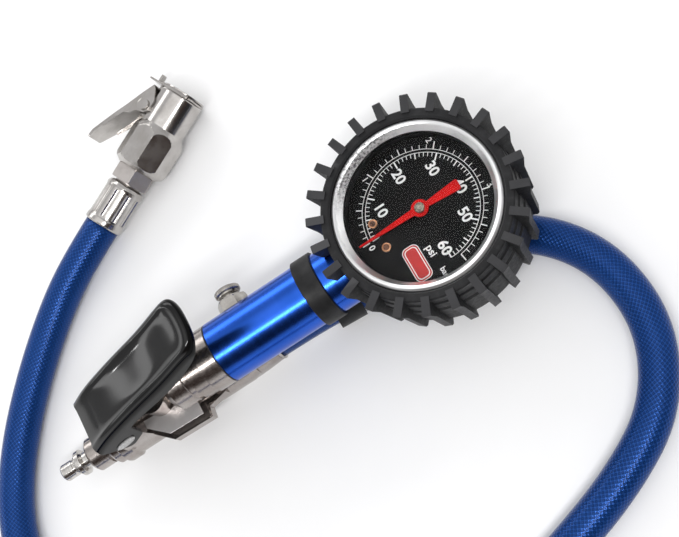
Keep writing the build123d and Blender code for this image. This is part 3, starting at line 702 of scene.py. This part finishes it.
def dial_marks():
    """Both scales: a pair of arcs, psi marks inside and bar marks outside."""
    points, faces = [], []

    def mark(angle, inner, outer, width):
        """One radial mark."""
        start = len(points)
        for radius, aside in ((inner, -1), (outer, -1), (outer, 1), (inner, 1)):
            points.append(dial_point(radius, angle, aside * width / 2))
        faces.append((start, start + 1, start + 2, start + 3))

    def arc(radius, last):
        """A thin arc from zero to the last reading."""
        steps = 120
        start = len(points)
        for k in range(steps + 1):
            angle = dial_angle(last * k / steps)
            points.append(dial_point(radius - ARC_WIDTH / 2, angle))
            points.append(dial_point(radius + ARC_WIDTH / 2, angle))
        for k in range(steps):
            at = start + 2 * k
            faces.append((at, at + 2, at + 3, at + 1))

    def kind(count, kinds):
        """Length and width of the mark with that count."""
        return kinds[0] if count % 10 == 0 else kinds[1] if count % 5 == 0 else kinds[2]

    arc(PSI_R, PSI_FULL)
    arc(BAR_R, BAR_FULL * PSI_PER_BAR)
    for psi in range(PSI_FULL + 1):
        reach, width = kind(psi, PSI_MARKS)
        mark(dial_angle(psi), PSI_R - reach, PSI_R, width)
    for tenth in range(10 * BAR_FULL + 1):
        reach, width = kind(tenth, BAR_MARKS)
        mark(dial_angle(tenth * PSI_PER_BAR / 10), BAR_R, BAR_R + reach, width)
    piece_from("dial_marks", points, faces, "print", "tool", smooth=False)


def dial_text(name, words, x, y, size, bold):
    """Flat lettering on the dial, centred at a point from the gauge's axis, reading towards -Y."""
    data = bpy.data.curves.new(name, "FONT")
    data.body = words
    data.size = size * MM
    data.offset = bold * MM
    data.align_x = "CENTER"
    data.align_y = "CENTER"
    data.resolution_u = 6
    holder = bpy.data.objects.new(name + "_font", data)
    bpy.context.scene.collection.objects.link(holder)
    bpy.context.view_layer.update()
    mesh = bpy.data.meshes.new_from_object(holder)
    bpy.data.objects.remove(holder)
    turn = Matrix.Rotation(-math.pi / 2, 4, "Z")
    mesh.transform(Matrix.Translation(Vector((GAUGE_X + x, y, PRINT_Z)) * MM) @ turn)
    mesh.materials.clear()
    mesh.materials.append(FINISH["print"])
    piece = bpy.data.objects.new(name, mesh)
    bpy.context.scene.collection.objects.link(piece)
    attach(piece, "tool")


def rounded_plate(name, x, y, half_x, half_y, corner, z, finish):
    """Flat rounded rectangle over the dial, round a point from the gauge's axis."""
    points = []
    steps = 6
    for side_x, side_y, start in ((1, 1, 0), (-1, 1, 90), (-1, -1, 180), (1, -1, 270)):
        for k in range(steps + 1):
            angle = math.radians(start + 90 * k / steps)
            points.append((
                GAUGE_X + x + side_x * (half_x - corner) + corner * math.cos(angle),
                y + side_y * (half_y - corner) + corner * math.sin(angle), z,
            ))
    piece_from(name, points, [tuple(range(len(points)))], finish, "tool", smooth=False)


def make_dial_print():
    """Scales, numerals, units, the recesses of the dial's screws and a plain badge."""
    dial_marks()
    for psi, (x, y) in PSI_NUMERALS.items():
        dial_text(f"numeral_{psi}", str(psi), x, y, 5.9, 0.16)
    dial_text("numeral_0", "0", -24.1, -2.6, 3.6, 0.08)
    for bar, (x, y) in BAR_NUMERALS.items():
        dial_text(f"bar_numeral_{bar}", str(bar), x, y, 3.6, 0.05)
    dial_text("unit_psi", "psi", -4.9, -16.6, 4.4, 0.08)
    dial_text("unit_bar", "bar", -4.6, -26.6, 3.2, 0.06)
    for name, side in (("screw_recess_high", 1), ("screw_recess_low", -1)):
        rounded_plate(
            name, SCREW_X, side * SCREW_Y, SCREW_RECESS_R, SCREW_RECESS_R, SCREW_RECESS_CORNER,
            SCREW_RECESS_Z, "recess")
    for k, (name, half_x, half_y, corner, finish) in enumerate(BADGE_LAYERS):
        rounded_plate(name, *BADGE, half_x, half_y, corner, PRINT_Z + k * LAYER_STEP, finish)


# --- trigger lever -------------------------------------------------------------------------
lever_end_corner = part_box("trigger_lever")[1]
LEVER_START, LEVER_END = 29.4, in_mm(lever_end_corner[0])
LEVER_HALF = in_mm(lever_end_corner[1])
LEVER_WALL = 1.8
NOSE_LENGTH = 7.0
NOSE_POWER = 2.5  # 2 is an ellipse, more is squarer
ROLL_IN, ROLL_DOWN = 3.0, 6.0  # the rolled edge, inwards and down
ROLL_SHARE = 0.8  # the roll takes no more than this part of the skirt's height

# Height of the rim, and of the skirt's lower edge with the ear that goes down to the pivot.
LEVER_RIM = [
    (29.4, 35.3), (31.2, 37.2), (35.6, 40.9), (42.9, 45.6), (49.7, 49.2), (58.5, 53.7), (63.9, 56.1),
    (70.7, 59.0), (77.7, 62.5), (85.7, 67.4), (90.5, 70.6), (95.0, 73.0), (100.0, 74.4),
]
LEVER_SKIRT = [
    (27.4, 30.6), (36.6, 20.6), (38.4, 19.4), (40.6, 19.8), (47.4, 25.4), (48.2, 26.6), (48.3, 33.0),
    (48.5, 37.0), (49.4, 38.6), (53.0, 41.0), (59.4, 43.6), (65.4, 45.8), (72.0, 48.6), (76.4, 50.8),
    (82.2, 54.2), (86.5, 57.7), (91.1, 61.6), (94.2, 65.0), (97.0, 67.8), (100.0, 70.0),
]
# Depth of the dish below the rim by the distance in from the lever's edge, and how much of it
# there is along the lever.
DISH = [
    (ROLL_IN, 0.0), (3.4, 0.20), (4.0, 0.60), (5.0, 1.05), (6.2, 1.28), (7.8, 1.38), (10.0, 1.42),
    (12.5, 1.43),
]
DISH_ALONG = [(LEVER_START, 0.45), (38.0, 1.0)]

# Rings of the skin: parts of the skirt's height, degrees of the roll, and mm in from the edge.
SKIRT_STEPS = (0.0, 0.08, 0.3, 0.55, 0.8, 1.0)
ROLL_STEPS = (12, 24, 36, 48, 60, 70, 80, 90)
DISH_STEPS = (3.4, 3.8, 4.3, 5.0, 5.8, 6.7, 7.7, 8.8, 10.0, 11.1, 11.9)
SHADED_ROLL_STEPS = 3  # of the roll's rings, that still have the skirt's low-gloss enamel, which is painted shade


def read_off(table, at):
    """Value of a table of (place, value) pairs at a place, or at an array of places."""
    places, values = zip(*table)
    return np.interp(at, places, values)


def smoothed(table, count, passes):
    """A table over the lever's length with its corners smoothed, as a function."""
    xs = np.linspace(LEVER_START, LEVER_END, count)
    heights = read_off(table, xs)
    for _ in range(passes):
        heights[1:-1] = (heights[:-2] + 2 * heights[1:-1] + heights[2:]) / 4
    return lambda x: float(np.interp(x, xs, heights))


def lever_outline(inset):
    """Plan of the lever pulled in by inset: near side, round free end, far side."""
    half = LEVER_HALF - inset
    nose = max(NOSE_LENGTH - inset * 0.45, 1.0)
    straight = LEVER_END - inset - nose
    steps, bend = 84, 36
    side = [LEVER_START + (straight - LEVER_START) * k / steps for k in range(steps)]
    power = 2.0 / NOSE_POWER
    turn = []
    for k in range(bend + 1):
        angle = math.pi * (k / bend - 0.5)
        across = math.copysign(abs(math.sin(angle)) ** power, angle)
        turn.append((straight + nose * max(math.cos(angle), 0.0) ** power, half * across))
    return [(x, -half) for x in side] + turn + [(x, half) for x in reversed(side)]


def lever_rings(top, low):
    """Rings of the skin's points, from the skirt's lower edge over the roll into the dish."""

    def roll(x):
        """Height taken by the rolled edge."""
        return min(ROLL_DOWN, ROLL_SHARE * (top(x) - low(x)))

    rings = []
    for part in SKIRT_STEPS:
        ring = []
        for x, y in lever_outline(0.0):
            crest = top(x) - roll(x)
            ring.append((x, y, low(x) + (crest - low(x)) * part))
        rings.append(ring)
    for turn in ROLL_STEPS:
        inset = ROLL_IN * (1 - math.cos(math.radians(turn)))
        drop = 1 - math.sin(math.radians(turn))
        rings.append([(x, y, top(x) - drop * roll(x)) for x, y in lever_outline(inset)])
    for inset in DISH_STEPS:
        ring = []
        for x, y in lever_outline(inset):
            ring.append((x, y, top(x) - read_off(DISH, inset) * read_off(DISH_ALONG, x)))
        rings.append(ring)
    return rings


def skin_faces(count, along):
    """Faces between that many open rings of points, and across the last ring."""
    faces = []
    for r in range(count - 1):
        for k in range(along - 1):
            at = r * along + k
            faces.append((at, at + 1, at + along + 1, at + along))
    last = (count - 1) * along
    for k in range((along - 1) // 2):
        quad = (last + k, last + k + 1, last + along - 2 - k, last + along - 1 - k)
        faces.append(tuple(dict.fromkeys(quad)))
    return faces


def make_lever():
    """Black spoon lever: skirt in a low-gloss copy of the enamel as painted shade, glossy rolled rim and
    dished top.
    """
    rings = lever_rings(smoothed(LEVER_RIM, 141, 150), smoothed(LEVER_SKIRT, 707, 6))
    along = len(rings[0])
    points = [p for ring in rings for p in ring]
    lever = piece_from("lever_skin", points, skin_faces(len(rings), along), "lever", "trigger")
    lever.data.materials.append(FINISH["skirt"])
    # The skirt and the first rings of the roll take the low-gloss copy, as painted shade.
    shaded_rings = len(SKIRT_STEPS) + SHADED_ROLL_STEPS
    for face in lever.data.polygons[:shaded_rings * (along - 1)]:
        face.material_index = 1
    shell = lever.modifiers.new("wall", "SOLIDIFY")
    shell.thickness = LEVER_WALL * MM
    shell.offset = -1.0
    edge = round_edges(lever, 0.4, 3, math.radians(50))
    edge.harden_normals = True
    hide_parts("trigger_lever")


# --- finger rests --------------------------------------------------------------------------
PANEL_OUTLINE = [(40.6, 3.6), (53.0, 14.5), (69.6, 14.9), (69.6, 5.2), (43.5, 3.6)]
PANEL_LOW, PANEL_TOP = 11.82, 12.0


def make_wing_panels():
    """Plates that line the sunk panels of both finger rests, in a light grey that is painted light: it
    stands in for the bright reflections that the lever above blocks.
    """
    count = len(PANEL_OUTLINE)
    for name, side in (("wing_panel_near", -1), ("wing_panel_far", 1)):
        points = [(x, side * y, z) for z in (PANEL_LOW, PANEL_TOP) for x, y in PANEL_OUTLINE]
        faces = [tuple(range(count)), tuple(range(count, 2 * count))]
        for k in range(count):
            after = (k + 1) % count
            faces.append((k, after, count + after, count + k))
        piece = piece_from(name, points, faces, "panel", "tool", smooth=False)
        round_edges(piece, 0.08, 2, math.radians(30))


set_camera()
set_world()
set_floor()
for light in LIGHTS:
    add_light(*light)
bpy.context.scene.view_settings.view_transform = "Standard"
make_hose()
make_dial_print()
make_lever()
make_wing_panels()
